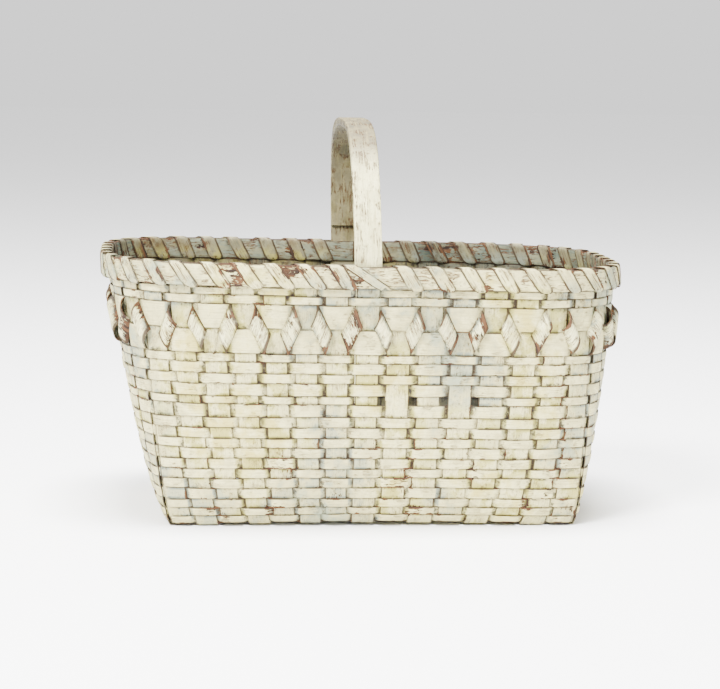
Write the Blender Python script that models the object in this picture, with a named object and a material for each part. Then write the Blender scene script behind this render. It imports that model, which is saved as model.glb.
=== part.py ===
"""A market basket woven from flat painted wood splints.

Splints cross in the base and turn up to be the stakes of the wall. Narrow splints are woven
round them in rows, with a band of two wide ones that carries a curled splint. Two hoops
clamp the top edge, a lashing wraps them on, and a bent handle is held under them.

Metres, +Z up. The origin is on the floor under the middle, and +X runs along the basket.
"""

import math

import bmesh
import bpy
from mathutils import Vector

MM = 0.001

# Body, measured to the middle of the stakes
BASE_LENGTH = 380 * MM
BASE_WIDTH = 236 * MM
MOUTH_LENGTH = 496 * MM
MOUTH_WIDTH = 316 * MM
MOUTH_CORNER = 105 * MM
BODY_HEIGHT = 248 * MM
FLARE = 0.55  # below 1, the wall leans out most just above the base

# Splints of the wall
STAKE_WIDTH = 21 * MM
STAKE_CLEARANCE = 4.5 * MM  # between stakes on the base, rounded to fill it with an odd number
STAKE_THICKNESS = 1 * MM
WEAVER_WIDTH = 9.5 * MM  # rounded to fill the wall below the band
WIDE_WEAVER_WIDTH = 22.8 * MM
TOP_WEAVER_WIDTH = 7.9 * MM
TOP_WEAVERS = 2
WEAVER_THICKNESS = 1 * MM

# Rim
HOOP_HEIGHT = 22 * MM
OUTER_HOOP_THICKNESS = 4 * MM
INNER_HOOP_THICKNESS = 3.5 * MM
BOW_ROOM = 2 * MM  # beside each leg of the handle, before the inner hoop starts to turn back
BOW_RUN = 30 * MM  # the length over which it does
LASHING_WIDTH = 13 * MM
LASHING_PINCHED_WIDTH = 10 * MM  # at most, where it passes between two stakes
LASHING_THICKNESS = 0.8 * MM
LASHING_TOP_SHARES = (0.38, 0.5)  # of each turn, where the lashing goes over the hoops
LASHING_SLOT = 2.2 * MM  # free height between the hoops and the top weaver
BEND_ROOM = 1.1 * MM  # clear of the hoops where the lashing bends round a corner

# Curled splint
CURL_WIDTH = 18 * MM
CURL_THICKNESS = 0.8 * MM
CURL_RISE = 8 * MM
CURL_LEAN = math.radians(30)
CURL_LEVEL_SHARE = 0.2  # of the way between stakes, level before and after the curl

# Handle
HANDLE_WIDTH = 25.4 * MM
HANDLE_THICKNESS = 7.5 * MM
HANDLE_RISE = 131 * MM  # above the rim
HANDLE_TAIL = 128 * MM  # below the rim, inside the wall
HANDLE_SQUARENESS = 3.2  # 2 is an ellipse, more is squarer
NOTCH_THICKNESS = 3.8 * MM  # left of the leg where the inner hoop sits
NOTCH_RISE = 16 * MM  # above the rim
HANDLE_EDGE = 1.5 * MM
ARCH_STEPS = 16

GAP = 0.3 * MM
KNOT_ROWS = (1, 3, 7, 12)  # rows whose top edge bends the wall

OUTWARDS = 1
INWARDS = -1

PAINT = (0.62, 0.59, 0.47)


def clear_scene():
    for obj in list(bpy.data.objects):
        bpy.data.objects.remove(obj)


def paint(name, shade):
    """A painted wood, each a little lighter or darker than the next."""
    material = bpy.data.materials.new(name)
    material.use_nodes = True
    surface = material.node_tree.nodes["Principled BSDF"]
    surface.inputs["Base Color"].default_value = [c * shade for c in PAINT] + [1]
    surface.inputs["Roughness"].default_value = 0.7
    return material


def add_object(name, bm, shade):
    bmesh.ops.recalc_face_normals(bm, faces=bm.faces)
    mesh = bpy.data.meshes.new(name)
    bm.to_mesh(mesh)
    bm.free()
    mesh.materials.append(paint(name + "_paint", shade))
    obj = bpy.data.objects.new(name, mesh)
    bpy.context.collection.objects.link(obj)
    return obj


def split_quad(bm, corners, towards):
    """Two triangles over a twisted quad, on the diagonal that bows towards this side."""
    a, b, c, d = corners
    if (a.co + c.co - b.co - d.co).dot(towards) > 0:
        bm.faces.new((a, b, c))
        bm.faces.new((a, c, d))
    else:
        bm.faces.new((a, b, d))
        bm.faces.new((b, c, d))


def splint(name, sections, closed, bow=OUTWARDS, shade=1.0):
    """A splint that runs through these four-cornered cross sections, the two outer corners
    first. Where the wall twists, its faces bow to one side, so layers keep clear."""
    bm = bmesh.new()
    rings = [[bm.verts.new(p) for p in section] for section in sections]
    ends = rings[1:] + rings[:1] if closed else rings[1:]
    for ring, after in zip(rings, ends):
        towards = bow * (ring[0].co - ring[3].co + after[0].co - after[3].co)
        for i in range(4):
            j = (i + 1) % 4
            split_quad(bm, (ring[i], ring[j], after[j], after[i]), towards)
    if not closed:
        bm.faces.new(rings[0])
        bm.faces.new(rings[-1])
    return add_object(name, bm, shade)


def odd(count):
    """The odd whole number nearest to count."""
    return 2 * max(1, round((count - 1) / 2)) + 1


CROSS_STAKES = odd(BASE_LENGTH / (STAKE_WIDTH + STAKE_CLEARANCE))
LONG_STAKES = odd(BASE_WIDTH / (STAKE_WIDTH + STAKE_CLEARANCE))
STAKES = 2 * (CROSS_STAKES + LONG_STAKES)

# Heights, from the rim down
HOOP_BOTTOM = BODY_HEIGHT - HOOP_HEIGHT
WEAVING_TOP = HOOP_BOTTOM - LASHING_SLOT
BAND_TOP = WEAVING_TOP - TOP_WEAVERS * TOP_WEAVER_WIDTH
BAND_MIDDLE = BAND_TOP - WIDE_WEAVER_WIDTH
BAND_BOTTOM = BAND_MIDDLE - WIDE_WEAVER_WIDTH
ROWS = round(BAND_BOTTOM / WEAVER_WIDTH)
ROW_PITCH = BAND_BOTTOM / ROWS
KNOTS = [0] + [row * ROW_PITCH for row in KNOT_ROWS if row < ROWS]
KNOTS += [BAND_BOTTOM, HOOP_BOTTOM, BODY_HEIGHT]


def flare(z):
    """How far the wall has come from the base outline to the mouth outline at height z."""
    low = max((k for k in KNOTS if k <= z), default=KNOTS[0])
    low = min(low, KNOTS[-2])
    high = min(k for k in KNOTS if k > low)
    at_low = (low / BODY_HEIGHT) ** FLARE
    at_high = (high / BODY_HEIGHT) ** FLARE
    return at_low + (at_high - at_low) * (z - low) / (high - low)


def base_corner(i):
    """The base outline halfway between stakes i and i + 1. Stake 0 is at the middle front."""
    x, y = BASE_LENGTH / 2, BASE_WIDTH / 2
    step_x, step_y = BASE_LENGTH / CROSS_STAKES, BASE_WIDTH / LONG_STAKES
    i %= STAKES
    sides = (
        (CROSS_STAKES // 2, Vector((step_x / 2, -y)), Vector((step_x, 0))),
        (LONG_STAKES, Vector((x, -y)), Vector((0, step_y))),
        (CROSS_STAKES, Vector((x, y)), Vector((-step_x, 0))),
        (LONG_STAKES, Vector((-x, y)), Vector((0, -step_y))),
        (CROSS_STAKES, Vector((-x, -y)), Vector((step_x, 0))),
    )
    for count, start, step in sides:
        if i < count:
            return start + step * i
        i -= count
    return None


def mouth_corner(i):
    """The mouth outline, a rounded rectangle, halfway between stakes i and i + 1."""
    radius = MOUTH_CORNER
    flat_x, flat_y = MOUTH_LENGTH / 2 - radius, MOUTH_WIDTH / 2 - radius
    arc = radius * math.pi / 2
    quarter = flat_x + arc + flat_y
    along = (i + 0.5) % STAKES * 4 * quarter / STAKES
    half = along // (2 * quarter)
    along -= half * 2 * quarter
    second = along > quarter
    if second:
        along = 2 * quarter - along
    if along < flat_x:
        point = Vector((along, -flat_y - radius))
    elif along < flat_x + arc:
        angle = (along - flat_x) / radius
        point = Vector((flat_x + radius * math.sin(angle), -flat_y - radius * math.cos(angle)))
    else:
        point = Vector((flat_x + radius, -flat_y + along - flat_x - arc))
    if second:
        point.y = -point.y
    return -point if half else point


BASE_OUTLINE = [base_corner(i) for i in range(STAKES)]
MOUTH_OUTLINE = [mouth_corner(i) for i in range(STAKES)]


def wall_corner(i, z, out=0.0):
    """Where the wall turns between stakes i and i + 1 at height z, moved out from the wall."""
    before, here, after = (
        BASE_OUTLINE[j % STAKES].lerp(MOUTH_OUTLINE[j % STAKES], flare(z)) for j in (i - 1, i, i + 1)
    )
    normals = []
    for start, end in ((before, here), (here, after)):
        run = (end - start).normalized()
        normals.append(Vector((run.y, -run.x)))
    mitre = (normals[0] + normals[1]) / (1 + normals[0].dot(normals[1]))
    return here + mitre * out


def wall_point(u, z, out=0.0):
    """A point on the wall. u counts stakes from the middle front."""
    i = math.floor(u + 0.5)
    start, end = wall_corner(i - 1, z, out), wall_corner(i, z, out)
    return start.lerp(end, u + 0.5 - i).to_3d() + Vector((0, 0, z))


def wall_run(u, z):
    """The way along the wall, towards higher u."""
    return (wall_point(u + 0.2, z) - wall_point(u - 0.2, z)).normalized()


def turns(i):
    """Whether the wall turns between stakes i and i + 1 at any height."""
    for outline in (BASE_OUTLINE, MOUTH_OUTLINE):
        before, here, after = (outline[j % STAKES] for j in (i - 1, i, i + 1))
        first, second = (here - before).normalized(), (after - here).normalized()
        if abs(first.x * second.y - first.y * second.x) > 1e-4:
            return True
    return False


TURNING = [i + 0.5 for i in range(STAKES) if turns(i)]


def ring(name, low, high, inner, outer, stations=(), bow=OUTWARDS, shade=1.0):
    """A closed band of splint round the wall. inner and outer give its faces at each u."""
    sections = []
    for u in sorted(TURNING + list(stations)):
        sections.append(
            (
                wall_point(u, low, outer(u)),
                wall_point(u, high, outer(u)),
                wall_point(u, high, inner(u)),
                wall_point(u, low, inner(u)),
            )
        )
    return splint(name, sections, True, bow, shade)


def stake_sections(i, lift, side):
    """Half of one splint: stake i from its top down to the base. side points along its width."""
    half = side * STAKE_WIDTH / 2
    heights = [z for z in KNOTS if z > lift + STAKE_THICKNESS]
    heights[-1] = BODY_HEIGHT - GAP
    sections = []
    for z in reversed(heights):
        outer = wall_point(i, z, STAKE_THICKNESS / 2)
        inner = wall_point(i, z, -STAKE_THICKNESS / 2)
        run = wall_run(i, z)
        across = half.length * run * (1 if run.dot(side) > 0 else -1)
        sections.append((outer - across, outer + across, inner + across, inner - across))
    outer = wall_point(i, lift, STAKE_THICKNESS / 2)
    inner = wall_point(i, lift + STAKE_THICKNESS, -STAKE_THICKNESS / 2)
    sections.append((outer - half, outer + half, inner + half, inner - half))
    return sections


def stakes():
    """The splints that cross in the base. Each is two stakes and the base between them."""
    across, along = CROSS_STAKES // 2, LONG_STAKES // 2
    for n in range(-across, across + 1):
        front = stake_sections(n, 0, Vector((1, 0, 0)))
        back = stake_sections(STAKES // 2 - n, 0, Vector((1, 0, 0)))
        splint(f"cross_stake_{n + across + 1:02d}", front + back[::-1], False, INWARDS, 0.96)
    lift = STAKE_THICKNESS + GAP
    for n in range(-along, along + 1):
        right = stake_sections(STAKES // 4 + n, lift, Vector((0, 1, 0)))
        left = stake_sections(3 * STAKES // 4 - n, lift, Vector((0, 1, 0)))
        splint(f"long_stake_{n + along + 1:02d}", right + left[::-1], False, INWARDS, 0.96)


def weaver(name, low, high, shade=1.0):
    inner = STAKE_THICKNESS / 2 + GAP
    outer = inner + WEAVER_THICKNESS
    return ring(name, low, high, lambda u: inner, lambda u: outer, shade=shade)


def weavers():
    for row in range(ROWS):
        low = max(row * ROW_PITCH, STAKE_THICKNESS) + GAP / 2
        weaver(f"weaver_{row + 1:02d}", low, (row + 1) * ROW_PITCH - GAP / 2)
    weaver("wide_weaver_lower", BAND_BOTTOM + GAP / 2, BAND_MIDDLE - GAP / 2, 1.02)
    weaver("wide_weaver_upper", BAND_MIDDLE + GAP / 2, BAND_TOP - GAP / 2, 1.02)
    for row in range(TOP_WEAVERS):
        low = BAND_TOP + row * TOP_WEAVER_WIDTH
        weaver(f"top_weaver_{row + 1:02d}", low + GAP / 2, low + TOP_WEAVER_WIDTH - GAP / 2)
    weaver("rim_weaver", HOOP_BOTTOM + GAP, BODY_HEIGHT - GAP)


def rim_pitch():
    """Distance between stakes at the lashing slot, on the straight front."""
    return (wall_point(1, HOOP_BOTTOM) - wall_point(0, HOOP_BOTTOM)).length


def from_handle(u):
    """Distance along the rim from the nearer leg of the handle."""
    half = STAKES / 2
    return abs((u + half / 2) % half - half / 2) * rim_pitch()


def inner_hoop_outside(u):
    """The inner hoop lies on the stakes, and bows inwards past each leg of the handle."""
    against_stakes = -STAKE_THICKNESS / 2 - GAP
    bow = NOTCH_THICKNESS + GAP
    share = 1 - (from_handle(u) - HANDLE_WIDTH / 2 - BOW_ROOM) / BOW_RUN
    return against_stakes - bow * min(1, max(0, share))


def inner_hoop_inside(u):
    return inner_hoop_outside(u) - INNER_HOOP_THICKNESS


def outer_hoop_inside(_):
    return STAKE_THICKNESS / 2 + GAP + WEAVER_THICKNESS + GAP


def outer_hoop_outside(u):
    return outer_hoop_inside(u) + OUTER_HOOP_THICKNESS


def hoops():
    ring("outer_hoop", HOOP_BOTTOM, BODY_HEIGHT, outer_hoop_inside, outer_hoop_outside)
    start = HANDLE_WIDTH / 2 + BOW_ROOM
    bends = [distance / rim_pitch() for distance in (start, start + BOW_RUN)]
    stations = []
    for leg in (0, STAKES // 2):
        for bend in bends:
            stations += [(leg + bend) % STAKES, (leg - bend) % STAKES]
    faces = inner_hoop_inside, inner_hoop_outside
    ring("inner_hoop", HOOP_BOTTOM, BODY_HEIGHT, *faces, stations, INWARDS)


def lashing_slot(i):
    """Middle (as u) and free width of the gap the lashing passes between stakes i and i + 1."""
    inside = -STAKE_THICKNESS / 2
    pitch = (wall_point(i + 1, HOOP_BOTTOM, inside) - wall_point(i, HOOP_BOTTOM, inside)).length
    start, end = STAKE_WIDTH / 2, pitch - STAKE_WIDTH / 2
    if i % (STAKES // 2) == 0:
        start = HANDLE_WIDTH / 2
    if (i + 1) % (STAKES // 2) == 0:
        end = pitch - HANDLE_WIDTH / 2
    return i + (start + end) / 2 / pitch, end - start - 2 * GAP


def lashing_section(u, width, edge, out, z):
    """edge is the ribbon's inner corner as (out, z). out and z point to its outer corner."""
    across = wall_run(u, edge[1]) * width / 2
    inner = wall_point(u, edge[1], edge[0])
    outer = wall_point(u, edge[1] + z, edge[0] + out)
    return (outer - across, outer + across, inner + across, inner - across)


def lashing():
    """One ribbon that winds round both hoops, once for each gap between stakes."""
    t = LASHING_THICKNESS
    top = BODY_HEIGHT + GAP
    low = HOOP_BOTTOM - LASHING_SLOT / 2 + t / 2
    sections = []
    for i in range(STAKES):
        u, room = lashing_slot(i)
        u_next = lashing_slot(i + 1)[0]
        narrow = min(LASHING_PINCHED_WIDTH, room)
        rise, cross = (u + share * (u_next - u) for share in LASHING_TOP_SHARES)
        if (i + 1) % (STAKES // 2) == 0:
            # The leg is in the way, so the ribbon crosses the rim before it
            rise, cross = u - 0.1, u - 0.05
        out = outer_hoop_outside(u) + GAP
        under, over = [min(inner_hoop_inside(v + d) for d in (-0.25, 0, 0.25)) for v in (u, rise)]
        wide = narrow if rise < u else LASHING_WIDTH
        sections.append(lashing_section(u, narrow, (out + BEND_ROOM, low), t, -t))
        sections.append(lashing_section(u, narrow, (under - BEND_ROOM, low), -t, -t))
        sections.append(lashing_section(rise, wide, (over - BEND_ROOM, top), -t, t))
        sections.append(lashing_section(cross, wide, (out, top), t, t))
    return splint("lashing", sections, True, OUTWARDS, 1.02)


def twist(i, low, high):
    """How far a weaver bows out over stake i, because the wall turns between these heights."""
    rising = wall_point(i - 0.5, low) + wall_point(i + 0.5, high)
    falling = wall_point(i + 0.5, low) + wall_point(i - 0.5, high)
    return (rising - falling).length / 4


def curled_splint():
    """One ribbon that passes from the lower wide weaver to the upper and back, with a raised
    curl at each gap between stakes. Each cross section is given by the share of the way to
    the next stake and the share of the full rise."""
    flat = STAKE_THICKNESS / 2 + WEAVER_THICKNESS + 2 * GAP
    levels = ((BAND_BOTTOM + BAND_MIDDLE) / 2, (BAND_MIDDLE + BAND_TOP) / 2)
    rises = ((0.0, 0), (0.28, 0), (0.38, 0.75), (0.5, 1), (0.62, 0.75), (0.72, 0))
    level_edges = (BAND_BOTTOM, BAND_MIDDLE), (BAND_MIDDLE, BAND_TOP)
    sections = []
    half = CURL_WIDTH / 2
    for i in range(STAKES):
        start, end = levels[i % 2], levels[(i + 1) % 2]
        lean = CURL_LEAN if end < start else -CURL_LEAN
        for share, rise in rises:
            tilt = lean if share else 0
            drop = (share - CURL_LEVEL_SHARE) / (1 - 2 * CURL_LEVEL_SHARE)
            z = start + (end - start) * min(1, max(0, drop))
            pitch = (wall_point(i + 0.5, z) - wall_point(i - 0.5, z)).length
            u = i + share
            du, dz = half * math.sin(tilt) / pitch, half * math.cos(tilt)
            bow = max(twist(i + round(share), *edges) for edges in level_edges)
            inner = flat + bow + rise * CURL_RISE
            corners = [(-1, CURL_THICKNESS), (1, CURL_THICKNESS), (1, 0), (-1, 0)]
            sections.append([wall_point(u + s * du, z + s * dz, inner + out) for s, out in corners])
    return splint("curled_splint", sections, True, OUTWARDS, 1.04)


def arch(thickness):
    """Quarter of the bow above the rim, from the leg to the top, as (y, z)."""
    half = MOUTH_WIDTH / 2 - STAKE_THICKNESS / 2 - GAP - thickness
    rise = HANDLE_RISE - thickness
    power = 2 / HANDLE_SQUARENESS
    points = []
    for n in range(ARCH_STEPS + 1):
        angle = math.pi / 2 * n / ARCH_STEPS
        y = -half * max(0, math.cos(angle)) ** power
        points.append((y, BODY_HEIGHT + rise * math.sin(angle) ** power))
    return points


def handle():
    """The bow and its two legs, cut from one outline. Each leg is thinned where the inner
    hoop sits and on down to its tail."""
    tail = BODY_HEIGHT - HANDLE_TAIL
    shoulder = BODY_HEIGHT + NOTCH_RISE
    below = [tail] + [z for z in KNOTS if tail < z < BODY_HEIGHT]
    outside = [(wall_point(0, z, -STAKE_THICKNESS / 2 - GAP).y, z) for z in below] + arch(0)
    thinned = [(y + NOTCH_THICKNESS, z) for y, z in outside if z < shoulder]
    y_low, z_low = thinned[-1]
    bow = [p for p in arch(HANDLE_THICKNESS) if p[1] > shoulder + MM]
    inside = thinned + [(y_low, shoulder), (bow[0][0], shoulder)] + bow
    left = outside + [(-y, z) for y, z in reversed(outside[:-1])]
    right = [(-y, z) for y, z in inside[:-1]] + inside[::-1]
    bm = bmesh.new()
    edge = HANDLE_WIDTH / 2
    face = bm.faces.new([bm.verts.new((-edge, y, z)) for y, z in left + right])
    side = bmesh.ops.extrude_face_region(bm, geom=[face])
    moved = [v for v in side["geom"] if isinstance(v, bmesh.types.BMVert)]
    bmesh.ops.translate(bm, verts=moved, vec=(HANDLE_WIDTH, 0, 0))
    obj = add_object("handle", bm, 0.97)
    bevel = obj.modifiers.new("eased_edges", "BEVEL")
    bevel.width = HANDLE_EDGE
    bevel.segments = 2
    bevel.limit_method = "ANGLE"
    bevel.angle_limit = math.radians(50)
    for polygon in obj.data.polygons:
        polygon.use_smooth = True
    return obj


clear_scene()
stakes()
weavers()
hoops()
lashing()
curled_splint()
handle()
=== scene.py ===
"""A market basket woven from flat splints of ash, painted cream long ago and worn since.

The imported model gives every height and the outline. Each splint is modelled again here as it
really runs, over and under the ones that it crosses, with the unevenness of hand work.
"""

import math
import random

import bpy
import numpy as np
from mathutils import Matrix, Vector


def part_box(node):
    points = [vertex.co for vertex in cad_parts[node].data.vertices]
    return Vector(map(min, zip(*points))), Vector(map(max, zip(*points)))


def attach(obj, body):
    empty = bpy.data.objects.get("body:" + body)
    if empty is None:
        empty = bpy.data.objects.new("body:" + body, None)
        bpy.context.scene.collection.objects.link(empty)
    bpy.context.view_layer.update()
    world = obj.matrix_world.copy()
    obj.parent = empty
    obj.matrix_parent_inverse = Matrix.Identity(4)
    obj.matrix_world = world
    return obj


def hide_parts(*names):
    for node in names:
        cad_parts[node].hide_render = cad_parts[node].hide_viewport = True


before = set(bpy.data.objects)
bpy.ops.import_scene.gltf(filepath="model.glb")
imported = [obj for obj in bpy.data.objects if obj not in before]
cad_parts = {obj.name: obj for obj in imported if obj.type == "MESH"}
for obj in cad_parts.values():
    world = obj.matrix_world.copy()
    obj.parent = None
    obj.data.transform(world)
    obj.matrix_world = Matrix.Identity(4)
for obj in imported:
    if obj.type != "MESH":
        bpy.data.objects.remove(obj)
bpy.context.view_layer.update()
bpy.ops.object.select_all(action="DESELECT")

MM = 0.001

# Sizes of the basket, to the middle of the stakes
BASE_LENGTH = 380 * MM
BASE_WIDTH = 236 * MM
MOUTH_LENGTH = 496 * MM
MOUTH_WIDTH = 316 * MM
MOUTH_CORNER = 105 * MM
FLARE = 0.55  # 1 would be a straight wall, and less leaves the base faster
CROSS_STAKES = 15
LONG_STAKES = 9
STAKES = 2 * (CROSS_STAKES + LONG_STAKES)
STAKE_WIDTH = 21.5 * MM
SPLINT = 1 * MM  # thickness of a splint
BASE_HEIGHT = 1.3 * MM  # middle of the woven base above the floor

# How far the splints bend out and in where they cross
WEAVER_BEND = 1.35 * MM
RIM_WEAVER_BEND = 0.5 * MM
STAKE_BEND = 0.35 * MM
BASE_BEND = 0.55 * MM

# How hand work has left the basket
LAP = 2.6  # of a row's ends, in stakes
LAP_STEP = 0.3  # over which a lapped end comes off the other, in stakes
ROW_WAVER = 0.6 * MM
ROW_GAP = 0.02 * MM
LOWEST_EDGE = 3.2 * MM  # of the lowest row above the floor
FOLD_LIFT = 2.6 * MM  # every second stake turns up above its neighbours
BASE_HOLLOW = 3 * MM
RIM_DIP = 0.0135  # per metre to the right
RIGHT_STRETCH = (0.05, -0.01)  # of the right half, at the base and at the rim
LEFT_STRETCH = (-0.062, -0.026)

# Heights of the narrow rows as they were packed down by hand, from the floor up. They are
# scaled to fill the wall below the band.
ROW_HEIGHTS = (10, 7.9, 8.7, 10.5, 9.8, 9, 10.2, 10.2, 9.2, 10.2, 10, 12.3, 7.8, 11.6, 9.3, 10.6, 8.1)
BROKEN_ROW = 13
BROKEN_FROM, BROKEN_TO = 0.36, 3.62  # in stakes from the middle front
CELLS_PER_STAKE = 10  # of the blank for a row

# Handle
HANDLE_WIDTH = 25.4 * MM
HANDLE_THICKNESS = 7.5 * MM
HANDLE_SQUARENESS = 3.2  # 2 would be a half circle
NOTCH_THICKNESS = 3.8 * MM
NOTCH_RISE = 16 * MM  # of the notch's shoulder above the rim
HANDLE_LEAN = 4 * MM  # to the left at the top

# Rim, and the splint wound round it
OUTER_HOOP = 4 * MM  # thickness of each hoop
INNER_HOOP = 3.5 * MM
HOOP_SQUARENESS = 4.5  # 2 would be round
HOOP_GIRTH = 50 * MM  # round its section
RIM_ROUND = 1460 * MM  # round the mouth
RIM_PITCH = 30.2 * MM  # from stake to stake
LEG_ROOM = NOTCH_THICKNESS + 0.3 * MM  # how far the rim gives way to a leg of the handle
LEG_EASE = 34 * MM  # over which it comes back
LASHING_WIDTH = 13.2 * MM
LASHING_THICKNESS = 0.7 * MM
LASHING_LENGTH = 2900 * MM
LASHING_ROOM = 0.5 * MM  # between it and the hoops
LASHING_SQUARENESS = 20 / 3

# Curls of the band
CURL_WIDTH = 21 * MM
CURL_LENGTH = 28 * MM
CURL_THICKNESS = 0.9 * MM
CURL_RISE = 21.5  # of its corners from the band's middle, in mm


def linear(code):
    """An sRGB hex colour as linear red, green, blue and alpha."""
    parts = [int(code[i : i + 2], 16) / 255 for i in (1, 3, 5)]
    return [c / 12.92 if c <= 0.04045 else ((c + 0.055) / 1.055) ** 2.4 for c in parts] + [1]


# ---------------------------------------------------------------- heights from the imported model


def levels():
    """The heights between the rows, from the floor to the top of the rim."""
    band_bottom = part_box("wide_weaver_lower")[0].z
    scale = band_bottom / sum(ROW_HEIGHTS)
    edges = [0.0]
    for height in ROW_HEIGHTS:
        edges.append(edges[-1] + height * scale)
    for node in ("wide_weaver_lower", "wide_weaver_upper", "top_weaver_01", "top_weaver_02"):
        edges.append(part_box(node)[1].z)
    edges.append(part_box("outer_hoop")[1].z)
    return np.array(edges)


LEVELS = levels()
ROWS = len(ROW_HEIGHTS)
BAND_MIDDLE = LEVELS[ROWS + 1]
HOOP_BOTTOM, HEIGHT = (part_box("outer_hoop")[i].z for i in (0, 1))
HANDLE_TAIL, HANDLE_TOP = (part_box("handle")[i].z for i in (0, 1))

RIM_LINE = HEIGHT - 8 * MM  # the height at which the rim follows the wall

# Faces of the wall under the hoops, out from its middle
OUTER_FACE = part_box("outer_hoop")[1].y - MOUTH_WIDTH / 2
INNER_FACE = -0.8 * MM


# ---------------------------------------------------------------- the wall


def base_outline():
    """The turning points of the base between stakes, from the one after the middle front."""
    x, y = BASE_LENGTH / 2, BASE_WIDTH / 2
    step_x, step_y = BASE_LENGTH / CROSS_STAKES, BASE_WIDTH / LONG_STAKES
    half = CROSS_STAKES // 2
    points = [(step_x * (i + 0.5), -y) for i in range(half)]
    points += [(x, step_y * i - y) for i in range(LONG_STAKES)]
    points += [(x - step_x * i, y) for i in range(CROSS_STAKES)]
    points += [(-x, y - step_y * i) for i in range(LONG_STAKES)]
    points += [(step_x * i - x, -y) for i in range(half + 1)]
    return np.array(points)


def mouth_outline():
    """The same points on the rounded outline of the mouth."""
    flat_x, flat_y = MOUTH_LENGTH / 2 - MOUTH_CORNER, MOUTH_WIDTH / 2 - MOUTH_CORNER
    arc = MOUTH_CORNER * math.pi / 2
    quarter = flat_x + arc + flat_y
    points = []
    for i in range(STAKES):
        along = (i + 0.5) * 4 * quarter / STAKES
        turned = along > 2 * quarter
        along -= 2 * quarter * turned
        mirrored = along > quarter
        along = 2 * quarter - along if mirrored else along
        bend = min(max(along - flat_x, 0), arc) / MOUTH_CORNER
        x = min(along, flat_x) + MOUTH_CORNER * math.sin(bend)
        y = -flat_y - MOUTH_CORNER * math.cos(bend) + max(0, along - flat_x - arc)
        y = -y if mirrored else y
        points.append((-x, -y) if turned else (x, y))
    return np.array(points)


BASE_OUTLINE = base_outline()
MOUTH_OUTLINE = mouth_outline()


def on_outline(outline, u):
    """A smooth outline through the middles of the stakes. u counts stakes."""
    k = np.floor(u).astype(int)
    t = (u - k)[:, None]
    before, here, after = (outline[(k + i) % STAKES] for i in (-1, 0, 1))
    return 0.5 * (1 - t) ** 2 * before + (0.5 + t - t * t) * here + 0.5 * t * t * after


def surface(u, z):
    """Points on the middle of the wall, from the base's outline up to the mouth's."""
    share = ((np.maximum(z, 0) / HEIGHT) ** FLARE)[:, None]
    flat = on_outline(BASE_OUTLINE, u) * (1 - share) + on_outline(MOUTH_OUTLINE, u) * share
    return np.column_stack([flat, z])


def unit(vectors):
    """The same vectors, 1 long."""
    return vectors / np.maximum(np.linalg.norm(vectors, axis=1, keepdims=True), 1e-12)


def wall_normal(u, z):
    """The way out from the wall."""
    along = surface(u + 0.02, z) - surface(u - 0.02, z)
    up = surface(u, z + 0.4 * MM) - surface(u, np.maximum(z - 0.4 * MM, 0))
    return unit(np.cross(along, up))


def settle(points, packed=False):
    """Hand work: the right half is a little longer than the left, the rim dips to the right,
    and the base is a little hollow under the middle. The weave is packed up under the rim."""
    x, y, z = points.T
    high = np.clip(z / HEIGHT, 0, 1.6)
    near = np.minimum(high, 1)
    right, left = (base + (rim - base) * near for base, rim in (RIGHT_STRETCH, LEFT_STRETCH))
    stretch = np.where(x > 0, right, left)
    hollow = BASE_HOLLOW * np.clip(1 - (x / (BASE_LENGTH / 2)) ** 2, 0, 1) * (1 - near) ** 4
    raised = np.interp(high, (0, 0.5, 0.87, 0.95, 1), (0, 2.5, 4, 3, 0)) * MM * packed
    return np.column_stack([x * (1 + stretch), y, z - RIM_DIP * x * near + hollow + raised])


def wall(u, z, out):
    """Points on the wall, moved out along its normal."""
    u, z, out = np.broadcast_arrays(*(np.asarray(v, float) for v in (u, z, out)))
    return surface(u, z) + wall_normal(u, z) * out[:, None]


def weave(x):
    """1 where whole x is even and -1 where it is odd, with quick smooth changes between."""
    return np.tanh(3 * np.cos(math.pi * x)) / math.tanh(3)


def row_at(z):
    """The row at height z, whole at its middle. The base edge is 0.5."""
    return np.interp(z, LEVELS, np.arange(len(LEVELS)) + 0.5)


class Waver:
    """A smooth unevenness along a splint, between about -1 and 1, from a seed."""

    def __init__(self, seed):
        chance = random.Random(seed)
        self.waves = [
            (share, chance.uniform(0.7, 1.3) * rate, chance.uniform(0, 6.3))
            for share, rate in ((0.5, 0.35), (0.3, 0.9), (0.2, 2.3))
        ]

    def __call__(self, along):
        return sum(share * np.sin(rate * along + start) for share, rate, start in self.waves)


# ---------------------------------------------------------------- making pieces


def select_only(piece):
    """Makes this piece the one that operators act on."""
    bpy.ops.object.select_all(action="DESELECT")
    piece.select_set(True)
    bpy.context.view_layer.objects.active = piece


def lay_out(piece, points, along, across, marks):
    """Puts each vertex of a modelled blank in its place. along and across are its place on the
    splint in metres, for the grain, and marks say how worn and soiled it is there and where
    painted shade goes."""
    mesh = piece.data
    mesh.vertices.foreach_set("co", np.asarray(points, np.float32).ravel())
    layer = mesh.uv_layers[0] if mesh.uv_layers else mesh.uv_layers.new(name="UVMap")
    layer.name = "UVMap"
    corner = np.empty(len(mesh.loops), np.int32)
    mesh.loops.foreach_get("vertex_index", corner)
    grain = np.column_stack([along[corner], across[corner]])
    layer.uv.foreach_set("vector", grain.astype(np.float32).ravel())
    marks.setdefault("inside", np.zeros(len(points)))
    for name, values in marks.items():
        attribute = mesh.attributes.new(name, "FLOAT", "POINT")
        attribute.data.foreach_set("value", np.asarray(values, np.float32))
    mesh.update()


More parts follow.
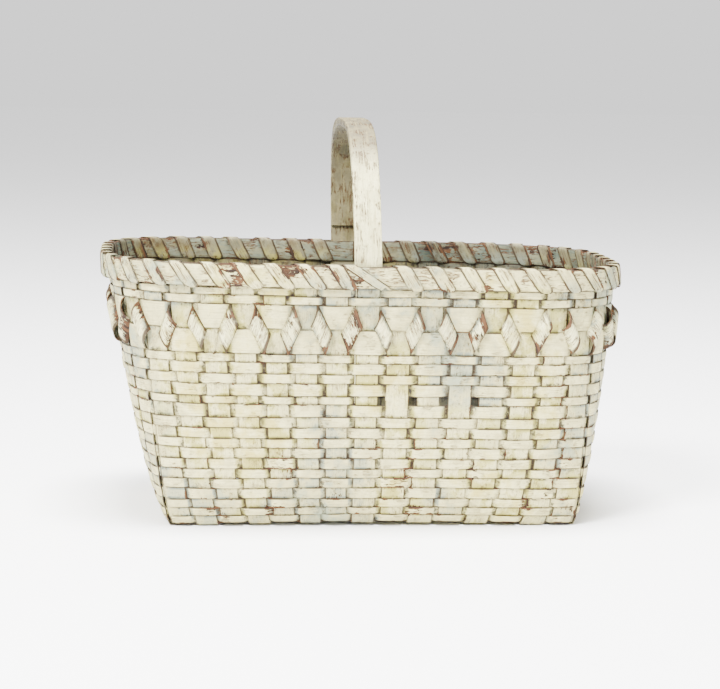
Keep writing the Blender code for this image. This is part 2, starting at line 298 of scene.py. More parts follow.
def blank(name, cells_along, cells_across):
    """A flat blank for a splint, and for each vertex its share of the way along and across."""
    bpy.ops.object.select_all(action="DESELECT")
    bpy.ops.mesh.primitive_grid_add(x_subdivisions=cells_along, y_subdivisions=cells_across, size=1)
    piece = bpy.context.object
    piece.name = name
    places = np.empty(len(piece.data.vertices) * 3, np.float32)
    piece.data.vertices.foreach_get("co", places)
    places = places.reshape(-1, 3).astype(float) + 0.5
    return piece, places[:, 0], places[:, 1]


def thicken(piece, thickness):
    """Gives a splint its thickness, its inner side the second material, and smooths its faces."""
    select_only(piece)
    body = piece.modifiers.new("thickness", "SOLIDIFY")
    body.thickness = thickness
    body.offset = 0
    body.material_offset = 1
    bpy.ops.object.modifier_apply(modifier=body.name)
    bpy.ops.object.shade_smooth_by_angle(angle=math.radians(38))


def outwards(piece):
    """Turns the faces of a closed piece to point out."""
    select_only(piece)
    bpy.ops.object.mode_set(mode="EDIT")
    bpy.ops.mesh.select_all(action="SELECT")
    bpy.ops.mesh.normals_make_consistent(inside=False)
    bpy.ops.object.mode_set(mode="OBJECT")


def finish(piece, node):
    """Says which body a piece rides on, which node it takes the place of."""
    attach(piece, "root")
    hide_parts(node)


def edge_share(across):
    """0 in the middle of a splint and 1 at its edges."""
    return np.abs(2 * across - 1)


def from_edge(across, width):
    """The distance to the nearer edge, in mm."""
    return (1 - edge_share(across)) * width / 2 / MM


# ---------------------------------------------------------------- materials

# Drifting tones of one paint, from grey to mossy yellow
CREAMS = ("#8f967c", "#b6ad7a", "#d0c88f", "#bbae63")
LIGHT = ("#bfbb8e", "#cdc793", "#d9d4a1", "#cdc585")
# Inner side of the splints: greyed paint, darkened much further with painted shade
AGED_AND_SHADED = ("#262a21", "#3a392c", "#4d4833", "#38321f")
# Inner sides of the hoops, the lashing and the handle: greyed paint
AGED_HOOP = ("#363f37", "#505a4d", "#6c715d", "#575138")
AGED_LASHING = ("#3f4238", "#54513c", "#6c684e", "#4e4128")
AGED_HANDLE = ("#47483c", "#5e5742", "#736b4d", "#524a2e")
BARE_DARK, BARE_LIGHT = "#1f1208", "#54361c"


def add(tree, kind, inputs, out=0, **settings):
    """Adds a node with its settings, its values and its links, and gives one of its outputs."""
    made = tree.nodes.new("ShaderNode" + kind)
    for name, value in settings.items():
        setattr(made, name, value)
    for socket, value in inputs.items():
        if isinstance(value, bpy.types.NodeSocket):
            tree.links.new(value, made.inputs[socket])
        else:
            made.inputs[socket].default_value = value
    return made.outputs[out]


def painted_wood(name, tones, cracks, chips, grime_and_shade, inner_tones=AGED_AND_SHADED, coarse=1.0, low_shade=0.0):
    """Old oil paint on split ash. The eye sees a chalky cream that drifts to grey and to a
    mossy yellow, hair cracks along the grain, rust brown wood where the paint has left the
    edges, dark lines of painted shade along the edges, and soil with painted shade where one
    splint goes under another. Inside, the paint has greyed and is darkened with painted shade.

    cracks, chips and grime are how much there is of each, grime being soil and painted shade,
    old are the tones of the inner side, coarse widens the grain so that it shows, and settled
    is the painted shade low in the basket."""
    material = bpy.data.materials.new(name)
    material.use_nodes = True
    tree = material.node_tree
    place = add(tree, "TexCoord", {}, "Object")
    grain_way = add(tree, "UVMap", {}, uv_map="UVMap")
    seen = {"above": add(tree, "SeparateXYZ", {0: place}, "Z")}
    for mark in ("from_edge", "tuck", "inside"):
        seen[mark] = add(tree, "Attribute", {}, "Fac", attribute_name=mark)

    # Patterns over all splints: the size of a mark in mm, its detail and its roughness
    patterns = {
        "broad": (91, 2, 0.55),
        "thin_paint": (25, 3, 0.6),
        "patch": (16.67, 4, 0.6),
        "crack_places": (11.1, 2, 0.55),
        "pitting": (5.88, 3, 0.6),
        "fleck": (2.38, 3, 0.6),
    }
    for pattern, (size, detail, roughness) in patterns.items():
        inputs = {"Vector": place, "Scale": 1 / (size * MM), "Detail": detail, "Roughness": roughness}
        seen[pattern] = add(tree, "TexNoise", inputs)

    # Patterns along the grain: the length and the width of a mark in mm, its detail and its
    # roughness. Real grain is finer, and is drawn this wide so that it shows.
    grains = {
        "grain": (30, 1.1 * coarse, 4, 0.6),
        "fine_grain": (14, 0.5, 2, 0.55),
        "ragged": (7, 1.6, 4, 0.65),
    }
    for pattern, (length, width, detail, roughness) in grains.items():
        inputs = {0: grain_way, 1: (1 / (length * MM), 1 / (width * MM), 1)}
        stretched = add(tree, "VectorMath", inputs, operation="MULTIPLY")
        inputs = {"Vector": stretched, "Scale": 1, "Detail": detail, "Roughness": roughness}
        seen[pattern] = add(tree, "TexNoise", inputs)
    off_middle = add(tree, "Math", {0: seen["grain"], 1: 0.5}, operation="SUBTRACT")
    seen["off_middle"] = add(tree, "Math", {0: off_middle}, operation="ABSOLUTE")

    # Fades: what each follows, where it starts and ends there, and how strong it is at both
    fades = {
        "streaks": ("grain", 0.48, 0.7, 0, 0.5),
        "fine_streaks": ("fine_grain", 0.54, 0.7, 0, 0.4),
        "mossy": ("broad", 0.46, 0.54, 0, 1),
        "tint_places": ("patch", 0.44, 0.56, 0, 1),
        "tinted": ("tuck", 0.1, 0.45, 0, grime_and_shade),
        # How much soil and painted shade lies where a splint goes under another
        "soiled": ("patch", 0.36, 0.7, 0.35 * grime_and_shade, 1.35 * grime_and_shade),
        "flecked": ("fleck", 0.56, 0.66, 0, 1),
        # Dark lines along the edges, painted shade in the gaps between splints
        "edge_shade_line": ("from_edge", 0.4, 1.15, 1, 0),
        "edge_shade_places": ("patch", 0.35, 0.6, 0.45, 1.45),
        "pitted": ("pitting", 0.57, 0.64, 0, 0.75),
        "pit_places": ("tuck", 0.25, 0.5, 0, 1),
        "hair": ("off_middle", 0.004 * coarse, 0.022 * coarse, 1, 0),
        "cracked": ("crack_places", 0.6 - 0.16 * cracks, 0.68 - 0.1 * cracks, 0, 1),
        # Painted shade, darker towards the bottom of the basket
        "painted_low_shade": ("above", 0.07, 0.21, low_shade, 0),
        "rubbed_edge": ("from_edge", 0, 2.6, 0.13, 0),
        "thinned": ("thin_paint", 0.4, 0.66, 0, 0.3),
        "scuffed": ("above", 0, 0.11, 0.085, 0),
        "wood_grain": ("grain", 0.4, 0.6, 0, 1),
    }
    for fade, (follows, start, end, first, last) in fades.items():
        span = {"From Min": start, "From Max": end, "To Min": first, "To Max": last}
        inputs = {"Value": seen[follows], **span}
        seen[fade] = add(tree, "MapRange", inputs, interpolation_type="SMOOTHSTEP")

    # What shows only where two things meet
    seen["deep_tuck"] = add(tree, "Math", {0: seen["tuck"], 1: 2.2}, operation="POWER")
    inputs = {0: seen["tuck"], 1: 0.7, 2: 0.2}
    seen["speck_places"] = add(tree, "Math", inputs, operation="MULTIPLY_ADD")
    meetings = {
        "tint": ("tinted", "tint_places"),
        "soil_and_shade": ("soiled", "deep_tuck"),
        "specks": ("flecked", "speck_places"),
        "line": ("edge_shade_line", "edge_shade_places"),
        "pits": ("pitted", "pit_places"),
        "cracks": ("hair", "cracked"),
    }
    for meeting, (one, other) in meetings.items():
        inputs = {0: seen[one], 1: seen[other]}
        seen[meeting] = add(tree, "Math", inputs, operation="MULTIPLY")
    seen["line"] = add(tree, "Math", {0: seen["line"], 1: 0.95}, operation="MINIMUM")
    seen["crack_paint"] = add(tree, "Math", {0: seen["cracks"], 1: 0.9}, operation="MULTIPLY")

    # Where the paint has gone, from all that wears it
    worn = 0
    for wear, amount in (("rubbed_edge", 1), ("ragged", 0.62), ("thinned", 1), ("scuffed", 1)):
        worn = add(tree, "Math", {0: seen[wear], 1: amount, 2: worn}, operation="MULTIPLY_ADD")
    inputs = {"Value": worn, "From Min": 0.735 - 0.12 * chips, "From Max": 0.765 - 0.12 * chips}
    seen["bare"] = add(tree, "MapRange", inputs, interpolation_type="SMOOTHSTEP")

    # The paint's own tones, and then each layer over the ones before it
    drift = 0
    for pattern, amount in (("broad", 0.55), ("patch", 0.45)):
        drift = add(tree, "Math", {0: seen[pattern], 1: amount, 2: drift}, operation="MULTIPLY_ADD")
    paints = []
    for colours in (tones, inner_tones):
        paint = add(tree, "ValToRGB", {"Fac": drift})
        stops = paint.node.color_ramp.elements
        stops[0].position, stops[1].position = 0.37, 0.63
        stops[0].color, stops[1].color = linear(colours[0]), linear(colours[3])
        stops.new(0.45).color = linear(colours[1])
        stops.new(0.54).color = linear(colours[2])
        paints.append(paint)
    inputs = {0: seen["mossy"], 6: linear("#7a8577"), 7: linear("#a09a4c")}
    moss = add(tree, "Mix", inputs, 2, data_type="RGBA")
    inputs = {0: seen["wood_grain"], 6: linear(BARE_DARK), 7: linear(BARE_LIGHT)}
    wood = add(tree, "Mix", inputs, 2, data_type="RGBA")
    colour = paints[0]
    for layer, tone in (
        ("inside", paints[1]),
        ("streaks", linear("#8b7f52")),
        ("fine_streaks", linear("#75693f")),
        ("tint", moss),
        # Soil and painted shade where a splint goes under another
        ("soil_and_shade", linear("#2f2411")),
        ("specks", linear("#54482b")),
        # Painted shade along the edges of the splints
        ("line", linear("#2b1e0d")),
        ("pits", linear("#1f1c12")),
        ("crack_paint", linear("#46290f")),
        # Painted shade, darker low in the basket
        ("painted_low_shade", linear("#1f1d14")),
        ("bare", wood),
    ):
        colour = add(tree, "Mix", {0: seen[layer], 6: colour, 7: tone}, 2, data_type="RGBA")

    rough = 0.5
    for pattern, amount in (("patch", 0.24), ("bare", 0.16)):
        rough = add(tree, "Math", {0: seen[pattern], 1: amount, 2: rough}, operation="MULTIPLY_ADD")
    height = 0
    for pattern, amount in (("grain", 0.6), ("bare", -0.7), ("cracks", -0.8), ("fleck", 0.25)):
        height = add(tree, "Math", {0: seen[pattern], 1: amount, 2: height}, operation="MULTIPLY_ADD")
    relief = add(tree, "Bump", {"Height": height, "Strength": 0.8, "Distance": 0.35 * MM})

    shader = tree.nodes["Principled BSDF"]
    shader.inputs["Specular IOR Level"].default_value = 0.3
    tree.links.new(colour, shader.inputs["Base Color"])
    tree.links.new(rough, shader.inputs["Roughness"])
    tree.links.new(relief, shader.inputs["Normal"])
    return material


# Brushed oil paint, dry and chalky with age: a soft dull cream with fine cracks
SPLINT_PAINT = painted_wood("chalky_cream_paint_on_ash_splint", CREAMS, cracks=0.5, chips=0.42, grime_and_shade=0.9)

# The same paint on the inner side, greyed and darkened with painted shade, most of all low down: it keeps
# the inside dark
INSIDE_PAINT_AND_SHADE = painted_wood(
    "greyed_and_shaded_paint_inside", AGED_AND_SHADED, cracks=0.7, chips=0.55, grime_and_shade=0.3, low_shade=0.75
)

# The same paint on the wide splints, less rubbed: calmer and cleaner panels
WIDE_PAINT = painted_wood("cream_paint_on_wide_splint", CREAMS, cracks=0.4, chips=0.3, grime_and_shade=0.8)

# Thick paint that hands have flaked off the bent hoops: rust brown patches of bare ash
HOOP_PAINT = painted_wood(
    "flaking_paint_on_hoop", CREAMS, cracks=1.2, chips=1.5, grime_and_shade=0.7, inner_tones=AGED_HOOP, coarse=2.0
)

# The same paint on the splint round the hoops: long streaks and worn edges
LASHING_PAINT = painted_wood(
    "cream_paint_on_lashing", CREAMS, cracks=1.0, chips=1.1, grime_and_shade=0.6, inner_tones=AGED_LASHING, coarse=1.8
)

# Paint on splints bent sharply, so that it cracks open: light faces with rust brown splits
CURL_PAINT = painted_wood(
    "cream_paint_on_curls", LIGHT, cracks=1.5, chips=1.25, grime_and_shade=0.8, coarse=2.0
)

# Several coats on the whittled bow: smoother and lighter, soiled by hands at the top
HANDLE_PAINT = painted_wood(
    "thick_paint_on_bent_handle", LIGHT, cracks=0.85, chips=0.55, grime_and_shade=0.9, inner_tones=AGED_HANDLE, coarse=2.4
)


def dress(piece, *materials):
    """Gives a piece its materials: the first for its outer side, a second for its inner side."""
    for material in materials:
        piece.data.materials.append(material)


# ---------------------------------------------------------------- woven splints


def weaver(name, row, low, high, slot, node, paint, bend=WEAVER_BEND, start=None, end=None):
    """A splint that runs round the wall in this row, in front of every second stake. Its ends
    lap somewhere past the front, unless it is given where they are. Rows share their edges."""
    chance = random.Random(row * 7 + 1)
    if start is None:
        start = 18 + chance.uniform(0, 26)
        end = start + STAKES + LAP
    turns = end - start
    piece, a, b = blank(name, int(turns * CELLS_PER_STAKE), 3)
    u = start + a * turns
    size = high - low
    low_edge = low + ROW_GAP + ROW_WAVER * Waver(900 + row)(u * 1.6)
    high_edge = high - ROW_GAP + ROW_WAVER * Waver(901 + row)(u * 1.6)
    low_edge = np.maximum(low_edge, LOWEST_EDGE)
    z = low_edge + b * (high_edge - low_edge)

    # It swings out over every second stake, and a lapped end lies over the other
    swing = weave(u + row)
    crowned = 0.22 * MM * (1 - edge_share(b) ** 2)
    out = bend * swing + crowned * (1 + swing)
    if turns > STAKES:
        first = 1 - np.clip((u - start - LAP) / LAP_STEP, 0, 1)
        last = np.clip((u - (end - LAP)) / LAP_STEP, 0, 1)
        out = out - first * SPLINT * (1 - swing) / 2 + last * SPLINT * (1 + swing) / 2
    out = out + 0.12 * MM * Waver(row + 50)(u * 2)
    points = settle(wall(u, z, out), True)
    length = 30 * MM * u + row * 0.37
    marks = {"from_edge": from_edge(b, size), "tuck": np.clip((0.88 - swing) / 1.2, 0, 1)}
    lay_out(piece, points, length, b * size + row * 0.011, marks)
    dress(piece, paint, INSIDE_PAINT_AND_SHADE)
    thicken(piece, SPLINT)
    finish(piece, node)


def weave_rows():
    """All rows from the floor up: narrow, two wide ones, two narrow ones and the rim's."""
    for row in range(1, ROWS + 1):
        broken = row == BROKEN_ROW
        start, end = (BROKEN_TO, BROKEN_FROM + STAKES) if broken else (None, None)
        low, high = LEVELS[row - 1], LEVELS[row]
        name, node = f"narrow_row_{row:02d}", f"weaver_{row:02d}"
        weaver(name, row, low, high, "painted_weavers", node, SPLINT_PAINT, start=start, end=end)
    wide = (("wide_row_lower", "wide_weaver_lower"), ("wide_row_upper", "wide_weaver_upper"))
    for n, (name, node) in enumerate(wide):
        low, high = LEVELS[ROWS + n : ROWS + n + 2]
        weaver(name, ROWS + 1 + n, low, high, "painted_wide_weavers", node, WIDE_PAINT)
    for n in range(2):
        low, high = LEVELS[ROWS + 2 + n : ROWS + 4 + n]
        node = f"top_weaver_{n + 1:02d}"
        weaver(f"top_row_{n + 1}", ROWS + 3 + n, low, high, "painted_weavers", node, SPLINT_PAINT)
    low, high = (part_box("rim_weaver")[i].z for i in (0, 1))
    rim = ("painted_weavers", "rim_weaver", SPLINT_PAINT, RIM_WEAVER_BEND)
    weaver("rim_row", ROWS + 5, low, high, *rim)


def stake_side(index, z, way):
    """The middle of stake index at heights z, the way across it and its bend out and in."""
    u = np.full(len(z), float(index))
    row = row_at(z)
    swing = -weave(index + row)
    if BROKEN_FROM < index < BROKEN_TO:
        swing = np.where(np.abs(row - BROKEN_ROW) < 1, 1.0, swing)
    run = unit(surface(u + 0.05, z) - surface(u - 0.05, z))
    run = run * np.sign(run @ way)[:, None]
    return wall(u, z, STAKE_BEND * swing), run, swing


def stake(name, node, first, second, way, crossings, parity, seed):
    """One splint: stake first from its top down, the base, and stake second to its top. It goes
    over and under this many others in the base, and parity says which it goes over."""
    cells_wall, cells_base = 110, 5 * crossings
    cells = 2 * cells_wall + cells_base
    piece, a, b = blank(name, cells, 2)
    step = np.round(a * cells).astype(int)
    chance = random.Random(seed)
    tops = [HEIGHT - chance.uniform(0.4, 2.2) * MM for _ in range(2)]
    points, run, swing = (np.zeros((len(a), n)) for n in (3, 3, 1))

    # The stakes at both ends, from the fold up
    fold = BASE_HEIGHT + FOLD_LIFT * (parity % 2)
    down, up = cells_wall - step, step - cells_wall - cells_base
    for index, top, climb in ((first, tops[0], down), (second, tops[1], up)):
        mask = climb >= 0
        z = fold + (climb[mask] / cells_wall) ** 1.15 * (top - fold)
        points[mask], run[mask], swing[mask, 0] = stake_side(index, z, way)

    # The base between the two folds
    ends = [stake_side(index, np.array([fold]), way) for index in (first, second)]
    flat = (step > cells_wall) & (step < cells_wall + cells_base)
    share = ((step - cells_wall) / cells_base)[flat]
    line = ends[0][0] * (1 - share[:, None]) + ends[1][0] * share[:, None]
    cross = share * crossings - 0.5
    under = -weave(cross + parity)
    fade = np.clip(np.minimum(share, 1 - share) * crossings * 2, 0, 1)
    line[:, 2] = BASE_HEIGHT - BASE_BEND * under * fade + (fold - BASE_HEIGHT) * (1 - fade)
    points[flat], run[flat], swing[flat, 0] = line, way, under

    # Split by hand, it wavers in its width and its place
    swing = swing[:, 0]
    uneven = 1 + 0.05 * Waver(seed + 11)(a * 30)
    drift = 0.5 * MM * Waver(seed + 12)(a * 20)
    side = (b - 0.5) * STAKE_WIDTH * uneven + drift
    points = points + run * side[:, None]
    length = a * (2 * (HEIGHT - BASE_HEIGHT) + 0.3) + seed * 0.41
    tuck = 0.3 + 0.7 * np.clip((0.95 - swing) / 1.2, 0, 1)
    marks = {"from_edge": from_edge(b, STAKE_WIDTH), "tuck": tuck}
    lay_out(piece, settle(points, True), length, b * STAKE_WIDTH + seed * 0.023, marks)
    dress(piece, SPLINT_PAINT, INSIDE_PAINT_AND_SHADE)
    thicken(piece, SPLINT)
    finish(piece, node)


def set_stakes():
    """The splints across the base from the left, and those along it from the front."""
    across, along = CROSS_STAKES // 2, LONG_STAKES // 2
    for n in range(-across, across + 1):
        number = n + across + 1
        way = np.array([1.0, 0, 0])
        name, node = f"short_splint_{number:02d}", f"cross_stake_{number:02d}"
        stake(name, node, n, STAKES // 2 - n, way, LONG_STAKES, n % 2, 100 + number)
    for n in range(-along, along + 1):
        number = n + along + 1
        way = np.array([0, 1.0, 0])
        name, node = f"long_splint_{number:02d}", f"long_stake_{number:02d}"
        first, second = STAKES // 4 + n, 3 * STAKES // 4 - n
        stake(name, node, first, second, way, CROSS_STAKES, n % 2, 200 + number)


# ---------------------------------------------------------------- rim


def rim_path(u):
    """Points on the wall behind the rim, and the level way out from each."""
    level = np.full(len(u), RIM_LINE)
    normal = wall_normal(u, level)
    normal[:, 2] = 0
    return surface(u, level), unit(normal)


def ring_blank(name, round_cells, section_cells):
    """A closed ring, with each vertex's share of the way round and round its section."""
    bpy.ops.object.select_all(action="DESELECT")
    bpy.ops.mesh.primitive_torus_add(
        major_segments=round_cells, minor_segments=section_cells, major_radius=1, minor_radius=0.2
    )
    piece = bpy.context.object
    piece.name = name
    x, y, z = (np.array([v.co[i] for v in piece.data.vertices]) for i in range(3))
    around = np.arctan2(y, x) / (2 * math.pi) % 1
    section = np.arctan2(z, np.hypot(x, y) - 1) / (2 * math.pi) % 1
    return piece, around, section


def close_seam(piece, size_along, size_across):
    """Makes the grain run on where a ring's start and end meet."""
    layer = piece.data.uv_layers[0]
    values = np.empty(len(piece.data.loops) * 2, np.float32)
    layer.uv.foreach_get("vector", values)
    corners = values.reshape(-1, 4, 2)
    for axis, size in enumerate((size_along, size_across)):
        spread = np.ptp(corners[:, :, axis], axis=1) > size / 2
        low = corners[:, :, axis] < size / 2
        corners[:, :, axis] += np.where(spread[:, None] & low, size, 0)
    layer.uv.foreach_set("vector", corners.ravel())


def rounded(share, power):
    """A round section, squared off: its width and height share, between -1 and 1."""
    angle = 2 * math.pi * share
    c, s = np.cos(angle), np.sin(angle)
    return np.sign(c) * np.abs(c) ** (2 / power), np.sign(s) * np.abs(s) ** (2 / power)


def leg_share(u):
    """1 behind a leg of the handle, falling to 0 to both sides of it."""
    half = STAKES / 2
    away = np.abs((u + half / 2) % half - half / 2) * RIM_PITCH
    share = np.clip(1 - (away - HANDLE_WIDTH / 2 - 2 * MM) / LEG_EASE, 0, 1)
    return share * share * (3 - 2 * share)


def hoop(name, node, face, thickness, bowed, seed):
    """A split ash hoop with a rounded section. face is where its inner side is, from the middle
    of the wall, and a bowed hoop gives way to the handle's legs."""
    piece, around, section = ring_blank(name, 384, 16)
    u = around * STAKES
    wide, tall = rounded(section, HOOP_SQUARENESS)
    middle = face + thickness / 2 - bowed * leg_share(u) * LEG_ROOM
    out = middle + wide * thickness / 2 * (1 + 0.06 * Waver(seed)(u))
    low = HOOP_BOTTOM + 1.5 * MM + 0.5 * MM * Waver(seed + 1)(u)
    high = HEIGHT + 0.5 * MM * Waver(seed + 2)(u * 1.4)
    flat, normal = rim_path(u)
    points = flat + normal * out[:, None]
    points[:, 2] = (low + high) / 2 + tall * (high - low) / 2
    within = np.clip(0.5 - wide, 0, 1) if bowed else np.clip(-wide, 0, 1)
    marks = {"from_edge": 11 * (1 - np.abs(tall)), "tuck": np.full(len(u), 0.12), "inside": within}
    lay_out(piece, settle(points), around * RIM_ROUND, section * HOOP_GIRTH, marks)
    close_seam(piece, RIM_ROUND, HOOP_GIRTH)
    dress(piece, HOOP_PAINT)
    outwards(piece)
    bpy.ops.object.shade_smooth_by_angle(angle=math.radians(50))
    finish(piece, node)


def set_hoops():
    """The outer hoop in front of the wall, and the inner one behind it."""
    hoop("outer_hoop_bent", "outer_hoop", OUTER_FACE - OUTER_HOOP, OUTER_HOOP, False, 21)
    hoop("inner_hoop_bent", "inner_hoop", INNER_FACE - INNER_HOOP, INNER_HOOP, True, 25)


def slot_between(i):
    """Where the lashing passes the wall between stakes i and i + 1."""
    if i % (STAKES // 2) == 0:
        return i + 0.57
    if (i + 1) % (STAKES // 2) == 0:
        return i + 0.43
    return i + 0.5


def lashing():
    """One splint wound round both hoops, down to the right outside. It steps over each leg."""
    per_turn = 28
    piece, around, width_share = blank("lashing_wrap", STAKES * per_turn, 3)
    turn = around * STAKES
    i = np.minimum(np.floor(turn + 1e-9), STAKES - 1).astype(int)
    p = turn - i

    # Where each turn starts under the rim, rises inside, comes over and ends, in stakes
    here = np.array([slot_between(n) for n in range(STAKES + 1)])
    start, end = here[i], here[i + 1]
    before_leg = (i + 1) % (STAKES // 2) == 0
    step = end - start
    rise = np.where(before_leg, start - 0.04, start + 0.36 * step)
    over = np.where(before_leg, start - 0.02, start + 0.5 * step)
    chance = random.Random(5)
    slips = np.array([chance.uniform(-0.07, 0.07) for _ in range(STAKES)])
    rise, over = rise + slips[i] * ~before_leg, over + slips[i] * ~before_leg

    wide, tall = rounded(-0.25 - p, LASHING_SQUARENESS)
    up = np.where(p < 0.5, (1 + tall) / 2, 1)
    down = np.where(p < 0.5, 0, (1 - tall) / 2)
    across_top = np.clip((p - 0.38) / 0.24, 0, 1)
    u = start + (rise - start) * up + (over - rise) * across_top + (end - over) * down
    inner = INNER_FACE - INNER_HOOP - LASHING_ROOM - leg_share(u) * LEG_ROOM
    outer = OUTER_FACE + LASHING_ROOM
    out = (inner + outer) / 2 + wide * (outer - inner) / 2
    low, high = HOOP_BOTTOM + 0.4 * MM, HEIGHT + 0.9 * MM
    flat, normal = rim_path(u)
    points = flat + normal * out[:, None]
    points[:, 2] = (low + high) / 2 + tall * (high - low) / 2

    # It is pinched where it goes under, and slants where it crosses a face
    ahead, behind = rim_path(u + 0.05)[0], rim_path(u - 0.05)[0]
    pinch = np.clip(1 - np.abs(tall + 1) * 3, 0, 1)
    slant = np.where(np.abs(wide) > 0.9, 1.22, 1.0)
    width = LASHING_WIDTH * slant * (1 - 0.3 * pinch) * (1 + 0.06 * Waver(77)(turn * 2))
    points = points + unit(ahead - behind) * ((width_share - 0.5) * width)[:, None]
    cupped = 0.25 * MM * edge_share(width_share) ** 2
    points = points + normal * (wide * cupped)[:, None]
    marks = {
        # Scaled down so that the dark edge lines of painted shade, and the worn edges, come out wider
        "from_edge": from_edge(width_share, width) * 0.42,
        "tuck": np.clip(0.25 - 0.3 * tall, 0, 1),
        "inside": np.clip(0.4 - wide * 1.5, 0, 1),
    }
    lay_out(piece, settle(points), around * LASHING_LENGTH, width_share * 13 * MM, marks)
    dress(piece, LASHING_PAINT)
    thicken(piece, LASHING_THICKNESS)
    finish(piece, "lashing")


# ---------------------------------------------------------------- curls


def curl(index, seed):
    """A splint end pulled out into a loop between two panels of the band. The loop leans one
    way and then the other. Its places are shares between stakes, and heights in mm."""
    rising = index % 2 == 0
    chance = random.Random(seed)
    foot, head = ((0.17, 3), (0.6, -CURL_RISE)), ((0.4, CURL_RISE), (0.83, -3))
    if not rising:
        foot, head = (tuple((1 - x, y) for x, y in corners) for corners in (foot, head))
    piece, t, s = blank(f"curl_{index + 1:02d}", 14, 8)
    slip_u, slip_z = chance.uniform(-0.03, 0.03), chance.uniform(-0.8, 0.8)
    size = chance.uniform(0.92, 1.08)
    ends = []
    for (u0, z0), (u1, z1) in (foot, head):
        u = index + 0.5 + ((u0 + (u1 - u0) * s) - 0.5) * size + slip_u
        z = BAND_MIDDLE + ((z0 + (z1 - z0) * s) * size + slip_z) * MM
        ends.append((u, z))
    ahead = 0.5 - 0.5 * np.cos(math.pi * (0.08 + 0.84 * t))
    u = ends[0][0] * (1 - ahead) + ends[1][0] * ahead
    z = ends[0][1] * (1 - ahead) + ends[1][1] * ahead
    bulge = chance.uniform(6.6, 8.4) * MM
    out = 1 * MM + bulge * np.sin(math.pi * (0.02 + 0.96 * t)) ** 0.85
    points = settle(wall(u, z, out), True)
    # Wide dark edge lines on the right side and the far end: painted shade, as if lit from the left
    right, far = (1 - s, 1 - t) if rising else (s, t)
    shade = np.minimum(np.minimum(right * 6, far * 7), (1 - right) * 12)
    marks = {"from_edge": shade, "tuck": edge_share(t) ** 2}
    lay_out(piece, points, t * CURL_LENGTH + seed * 0.19, s * CURL_WIDTH + seed * 0.03, marks)
    dress(piece, CURL_PAINT, INSIDE_PAINT_AND_SHADE)
    if rising:
        piece.data.flip_normals()
    thicken(piece, CURL_THICKNESS)
    return piece


def curls():
    """One curl in each gap between stakes, all of one splint."""
    made = [curl(index, 300 + index) for index in range(STAKES)]
    select_only(made[0])
    for piece in made:
        piece.select_set(True)
    bpy.ops.object.join()
    made[0].name = "curls_of_the_band"
    finish(made[0], "curled_splint")


# ---------------------------------------------------------------- handle


def handle_stations():
    """The outer and inner line of half the handle as (y, z), from its tail to the top."""
    outer, inner = [], []

    # The leg, inside the wall, is thinned and tapers down to its tail
    for z in np.linspace(HANDLE_TAIL, HEIGHT - 1 * MM, 22):
        y = -np.abs(wall(0.0, [z], INNER_FACE)[0][1])
        thin = NOTCH_THICKNESS * min(1, 0.55 + (z - HANDLE_TAIL) / (40 * MM))
        outer.append((y, z))
        inner.append((y + thin, z))

    # The bow is as thin up to the shoulder of its notch, and has its full thickness above
    half, rise = MOUTH_WIDTH / 2 + INNER_FACE, HANDLE_TOP - HEIGHT
    shoulder = HEIGHT + NOTCH_RISE
    power = 2 / HANDLE_SQUARENESS
    below = True
    for n in range(1, 61):
        angle = math.pi / 2 * (n / 60) ** 1.25
        c, s = max(0, math.cos(angle)) ** power, math.sin(angle) ** power
        y, z = -half * c, HEIGHT + rise * s
        y_in, z_in = -(half - HANDLE_THICKNESS) * c, HEIGHT + (rise - HANDLE_THICKNESS) * s
        if z < shoulder:
            y_in, z_in = y + NOTCH_THICKNESS, z
        elif below:
            outer.append((y, shoulder))
            inner.append((y + NOTCH_THICKNESS, shoulder))
            outer.append((y, shoulder + 0.2 * MM))
            inner.append((y + HANDLE_THICKNESS, shoulder + 0.2 * MM))
            below = False
            continue
        outer.append((y, z))
        inner.append((y_in, z_in))
    return outer, inner


def handle_section():
    """The handle's section in shares of its half width and half thickness, anticlockwise."""
    left = [(-0.88, 1.0), (-0.955, 0.9), (-0.99, 0.62)]
    top = [(x, 1.0) for x in np.linspace(0.66, -0.66, 7)]
    right = [(-x, y) for x, y in left[::-1]]
    upper = right + top + left
    return np.array(upper + [(-x, -y) for x, y in upper])


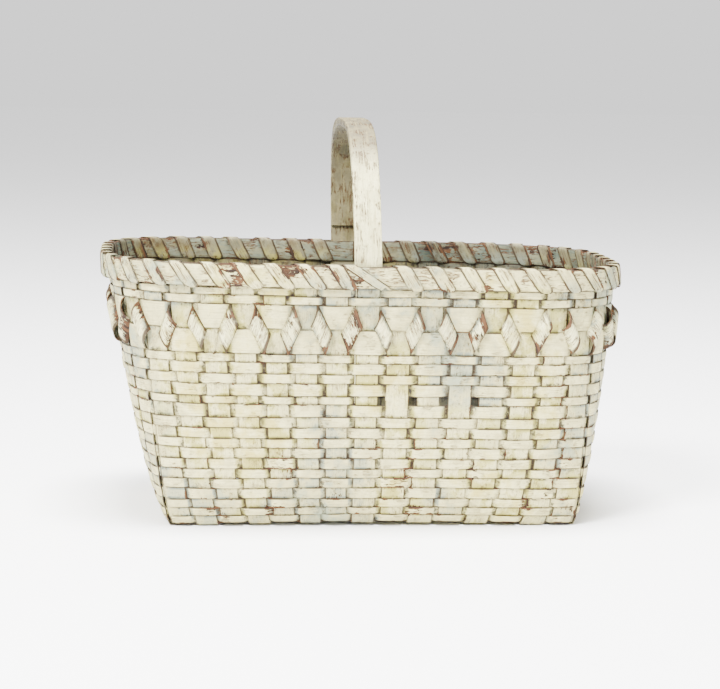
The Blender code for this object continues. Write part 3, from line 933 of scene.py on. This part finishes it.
def handle():
    """The bent bow with its two legs, in one length."""
    outer, inner = (np.array(line) for line in handle_stations())
    flip = np.array([-1, 1])
    outer = np.vstack([outer, outer[-2::-1] * flip])
    inner = np.vstack([inner, inner[-2::-1] * flip])
    section = handle_section()
    count, sides = len(outer), len(section)

    # A globe's rings become the stations along the handle, and its poles the ends
    bpy.ops.object.select_all(action="DESELECT")
    bpy.ops.mesh.primitive_uv_sphere_add(segments=sides, ring_count=count + 1, radius=1)
    piece = bpy.context.object
    piece.name = "bent_handle"
    co = np.array([v.co[:] for v in piece.data.vertices])
    ring = np.round((1 - np.arccos(np.clip(co[:, 2], -1, 1)) / math.pi) * (count + 1)).astype(int) - 1
    side = np.round(np.arctan2(co[:, 1], co[:, 0]) / (2 * math.pi) * sides).astype(int) % sides
    pole = (ring < 0) | (ring >= count)
    ring = np.clip(ring, 0, count - 1)
    across, through = section[side].T.copy()
    across[pole], through[pole] = 0, 0

    # Whittled faces: the thickness, the width and the line waver
    along = np.concatenate([[0], np.cumsum(np.linalg.norm(np.diff(outer, axis=0), axis=1))])[ring]
    middle = (outer + inner)[ring] / 2
    reach = (outer - inner)[ring] / 2
    yz = middle + reach * (through * (1 + 0.04 * Waver(31)(along * 60)))[:, None]
    taper = np.clip(np.minimum(along, along.max() - along) / (30 * MM), 0, 1)
    width = HANDLE_WIDTH / 2 * (0.9 + 0.1 * taper) * (1 + 0.018 * Waver(33)(along * 45))
    x = across * width + 0.5 * MM * Waver(35)(along * 25)
    x = x - HANDLE_LEAN * np.clip((yz[:, 1] - HEIGHT) / (HANDLE_TOP - HEIGHT), 0, 1)
    points = np.column_stack([x, yz])

    # Hands have soiled the inner side and the top
    inside = np.clip(0.2 - through, 0, 1)
    crown = np.clip((yz[:, 1] - HANDLE_TOP + 50 * MM) / (30 * MM), 0, 1)
    soiled = np.clip(np.maximum(inside * 0.95, crown), 0, 1)
    edge = HANDLE_WIDTH / 2 / MM * (1 - np.abs(across)) + 1
    marks = {"from_edge": edge, "tuck": crown * 0.1, "inside": soiled}
    lay_out(piece, points, along, across * 13 * MM + (through > 0) * 0.1, marks)
    dress(piece, HANDLE_PAINT)
    outwards(piece)
    bpy.ops.object.shade_smooth_by_angle(angle=math.radians(45))
    finish(piece, "handle")


# ---------------------------------------------------------------- room


def area_light(name, place, aim, size, power):
    """A soft box that shines from its place at its aim."""
    data = bpy.data.lights.new(name, "AREA")
    data.shape = "RECTANGLE"
    data.size, data.size_y = size
    data.energy = power
    lamp = bpy.data.objects.new(name, data)
    bpy.context.collection.objects.link(lamp)
    lamp.location = place
    lamp.rotation_euler = (Vector(aim) - Vector(place)).to_track_quat("-Z", "Y").to_euler()


def room():
    """A pale floor under soft studio light."""
    bpy.ops.object.select_all(action="DESELECT")
    bpy.ops.mesh.primitive_plane_add(size=30)
    floor = bpy.context.object
    floor.name = "floor"
    # Matt paper without a pattern, so that the shadow is all that shows on it
    paper = bpy.data.materials.new("white_paper")
    paper.use_nodes = True
    shader = paper.node_tree.nodes["Principled BSDF"]
    shader.inputs["Base Color"].default_value = linear("#ffffff")
    shader.inputs["Roughness"].default_value = 0.9
    dress(floor, paper)
    world = bpy.data.worlds.new("studio")
    world.use_nodes = True
    sky = world.node_tree.nodes["Background"]
    sky.inputs["Color"].default_value = linear("#ffffff")
    sky.inputs["Strength"].default_value = 1.3
    bpy.context.scene.world = world

    # Places, aims and sizes in metres, and the power in watts
    area_light("key", (-1.5, -2.1, 2.5), (0, 0, 0.15), (1.0, 1.0), 400)
    area_light("overhead", (0, -0.3, 3), (0, 0, 0), (1.2, 1.0), 420)
    area_light("fill", (1.2, -2.6, 0.9), (0, 0, 0.15), (1.4, 1.0), 30)


def camera():
    """Far off and a little above the rim, a few degrees round to the left."""
    data = bpy.data.cameras.new("camera")
    data.lens = 128.3
    data.sensor_width = 36
    eye = bpy.data.objects.new("camera", data)
    bpy.context.collection.objects.link(eye)
    azimuth, distance = math.radians(4.6), 2.5  # distance in metres
    eye.location = (-distance * math.sin(azimuth), -distance * math.cos(azimuth), 0.45)
    aim = Vector((0.006, 0, 0.1578)) - eye.location
    roll = Matrix.Rotation(math.radians(0.8), 3, "Z")
    eye.rotation_euler = (aim.to_track_quat("-Z", "Y").to_matrix() @ roll).to_euler()
    bpy.context.scene.camera = eye


weave_rows()
set_stakes()
set_hoops()
lashing()
curls()
handle()
room()
camera()
